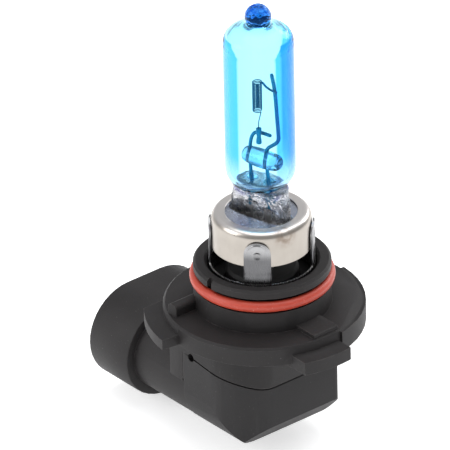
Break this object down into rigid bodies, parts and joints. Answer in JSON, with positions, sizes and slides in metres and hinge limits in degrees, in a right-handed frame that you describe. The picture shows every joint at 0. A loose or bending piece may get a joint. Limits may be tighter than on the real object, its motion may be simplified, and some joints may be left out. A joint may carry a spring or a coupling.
{
  "type": "headlight bulb",
  "caption": "Halogen headlight bulb: blue coated glass on a metal cup, over a round moulded base with bayonet lugs, a red seal ring and a right-angle plug socket.",
  "frame": {"origin": "on the bulb's axis, in the plane of the flange's top face, which seats against the headlamp", "axes": "+Z along the glass, away from the base; -X out of the plug socket's mouth; -Y towards the side with the rib"},
  "size_m": [0.0527, 0.038, 0.0859],
  "materials": {
    "blue_glass": "gloss, blue interference coating",
    "clear_glass": "gloss",
    "tungsten": "satin",
    "lead_metal": "satin",
    "foil": "satin",
    "outer_lead": "satin",
    "cup_metal": "bright nickel",
    "insert_metal": "bright",
    "ring_steel": "bright rolled",
    "black_plastic": "matte, as moulded",
    "cover_plastic": "matte, as moulded",
    "red_rubber": "satin",
    "black_rubber": "matte",
    "pale_plastic": "matte",
    "tinned_brass": "tinned",
    "crimp_brass": "tinned"
  },
  "bodies": {
    "root": {"glass_envelope": "blue_glass", "pinch_seal": "clear_glass", "glass_bridge": "clear_glass", "filament": "tungsten", "filament_sleeve": "lead_metal", "long_lead_wire": "lead_metal", "short_lead_wire": "lead_metal", "foil_left": "foil", "foil_right": "foil", "outer_lead_left": "outer_lead", "outer_lead_right": "outer_lead", "burner_cup": "cup_metal", "cup_insert": "insert_metal", "retaining_ring": "ring_steel", "base_body": "black_plastic", "rear_cover": "cover_plastic", "o_ring": "red_rubber", "lead_grommet": "black_rubber", "terminal_carrier": "pale_plastic", "terminal_left": "tinned_brass", "terminal_right": "tinned_brass", "crimp_left": "crimp_brass", "crimp_right": "crimp_brass"}
  },
  "joints": []
}
